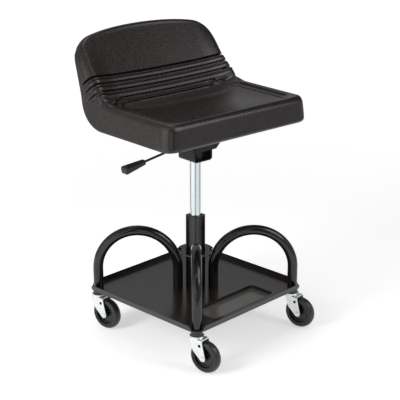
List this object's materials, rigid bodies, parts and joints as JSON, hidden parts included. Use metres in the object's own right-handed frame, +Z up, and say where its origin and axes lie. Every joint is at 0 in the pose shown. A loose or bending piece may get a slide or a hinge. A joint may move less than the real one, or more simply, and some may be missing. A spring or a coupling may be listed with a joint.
{
  "type": "creeper seat",
  "caption": "Mechanic's rolling seat with a moulded low-back seat on a gas lift, over a square tool tray that bent-tube guards surround and swivel casters carry.",
  "frame": {"origin": "on the column's axis, at floor level under the casters", "axes": "+Z up; the sitter faces -Y, so the sitter's right hand and the release lever are at -X"},
  "size_m": [0.4601, 0.4649, 0.7546],
  "materials": {
    "tray_paint": "satin black powder coat",
    "gloss_paint": "gloss black paint",
    "bracket_paint": "satin dark grey paint",
    "black_plastic": "moulded, fine grain",
    "steel": "plated steel",
    "sleeve_steel": "plain turned steel",
    "zinc": "bright zinc plate on pressed steel",
    "chrome": "polished chrome plate",
    "stop_rubber": "moulded rubber",
    "board_wood": "raw plywood",
    "seat_skin": "satin integral skin foam, moulded with a pebble grain",
    "wheel_plastic": "moulded",
    "tyre_rubber": "smooth tread"
  },
  "bodies": {
    "base": {"tray": "tray_paint", "hoop_front_right": "gloss_paint", "hoop_front_left": "gloss_paint", "hoop_rear_right": "gloss_paint", "hoop_rear_left": "gloss_paint", "column": "gloss_paint", "hoop_collar": "gloss_paint", "anchor_plate": "gloss_paint", "guide_bush": "black_plastic", "outer_leg_plugs": "black_plastic", "inner_leg_plugs": "black_plastic", "tray_bolts": "steel", "stem_collars": "gloss_paint", "thrust_bearing": "steel", "caster_stem_front_right": "zinc", "caster_stem_front_left": "zinc", "caster_stem_rear_right": "zinc", "caster_stem_rear_left": "zinc", "caster_balls_front_right": "steel", "caster_balls_front_left": "steel", "caster_balls_rear_right": "steel", "caster_balls_rear_left": "steel"},
    "rod": {"piston_rod": "chrome", "upper_race": "steel", "retaining_clip": "steel", "bump_stop": "stop_rubber", "piston": "stop_rubber"},
    "seat": {"gas_cylinder": "chrome", "rod_gland": "steel", "lift_socket": "bracket_paint", "lift_bracket": "bracket_paint", "seat_plate": "bracket_paint", "plate_bolts": "steel", "seat_board": "board_wood", "seat_foam": "seat_skin", "lever_pivot_pin": "steel"},
    "lever": {"lever_rod": "bracket_paint", "lever_grip": "black_plastic"},
    "button": {"release_button": "steel"},
    "fork_front_right": {"caster_fork_front_right": "zinc", "caster_axle_front_right": "zinc", "axle_sleeve_front_right": "sleeve_steel"},
    "wheel_front_right": {"wheel_core_front_right": "wheel_plastic", "tyre_front_right": "tyre_rubber"},
    "fork_front_left": {"caster_fork_front_left": "zinc", "caster_axle_front_left": "zinc", "axle_sleeve_front_left": "sleeve_steel"},
    "wheel_front_left": {"wheel_core_front_left": "wheel_plastic", "tyre_front_left": "tyre_rubber"},
    "fork_rear_right": {"caster_fork_rear_right": "zinc", "caster_axle_rear_right": "zinc", "axle_sleeve_rear_right": "sleeve_steel"},
    "wheel_rear_right": {"wheel_core_rear_right": "wheel_plastic", "tyre_rear_right": "tyre_rubber"},
    "fork_rear_left": {"caster_fork_rear_left": "zinc", "caster_axle_rear_left": "zinc", "axle_sleeve_rear_left": "sleeve_steel"},
    "wheel_rear_left": {"wheel_core_rear_left": "wheel_plastic", "tyre_rear_left": "tyre_rubber"}
  },
  "joints": [
    {"name": "seat_swivel", "type": "hinge", "parent": "base", "child": "rod", "pos_m": [0, 0, 0.11], "axis": [0, 0, 1], "continuous": true},
    {"name": "seat_lift", "type": "slide", "parent": "rod", "child": "seat", "axis": [0, 0, 1], "range_m": [-0.115, 0]},
    {"name": "release_lever", "type": "hinge", "parent": "seat", "child": "lever", "pos_m": [-0.01995, 0.00146, 0.4898], "axis": [0.0732, 0.9973, 0], "range_deg": [0, 7.5], "stiffness_Nm_per_rad": 8},
    {"name": "button_press", "type": "slide", "parent": "seat", "child": "button", "axis": [0, 0, -1], "range_m": [0, 0.003]},
    {"name": "caster_swivel_front_right", "type": "hinge", "parent": "base", "child": "fork_front_right", "pos_m": [-0.17437, -0.17437, 0.0845], "axis": [0, 0, 1], "continuous": true},
    {"name": "wheel_roll_front_right", "type": "hinge", "parent": "fork_front_right", "child": "wheel_front_right", "pos_m": [-0.17085, -0.20044, 0.04], "axis": [0.991, 0.134, 0], "continuous": true},
    {"name": "caster_swivel_front_left", "type": "hinge", "parent": "base", "child": "fork_front_left", "pos_m": [0.17437, -0.17437, 0.0845], "axis": [0, 0, 1], "continuous": true},
    {"name": "wheel_roll_front_left", "type": "hinge", "parent": "fork_front_left", "child": "wheel_front_left", "pos_m": [0.1779, -0.20044, 0.04], "axis": [0.991, 0.134, 0], "continuous": true},
    {"name": "caster_swivel_rear_right", "type": "hinge", "parent": "base", "child": "fork_rear_right", "pos_m": [-0.17437, 0.17437, 0.0845], "axis": [0, 0, 1], "continuous": true},
    {"name": "wheel_roll_rear_right", "type": "hinge", "parent": "fork_rear_right", "child": "wheel_rear_right", "pos_m": [-0.17085, 0.14831, 0.04], "axis": [0.991, 0.134, 0], "continuous": true},
    {"name": "caster_swivel_rear_left", "type": "hinge", "parent": "base", "child": "fork_rear_left", "pos_m": [0.17437, 0.17437, 0.0845], "axis": [0, 0, 1], "continuous": true},
    {"name": "wheel_roll_rear_left", "type": "hinge", "parent": "fork_rear_left", "child": "wheel_rear_left", "pos_m": [0.1779, 0.14831, 0.04], "axis": [0.991, 0.134, 0], "continuous": true}
  ],
  "couplings": [
    {"joint": "button_press", "follows": "release_lever", "m_per_rad": 0.0225}
  ]
}
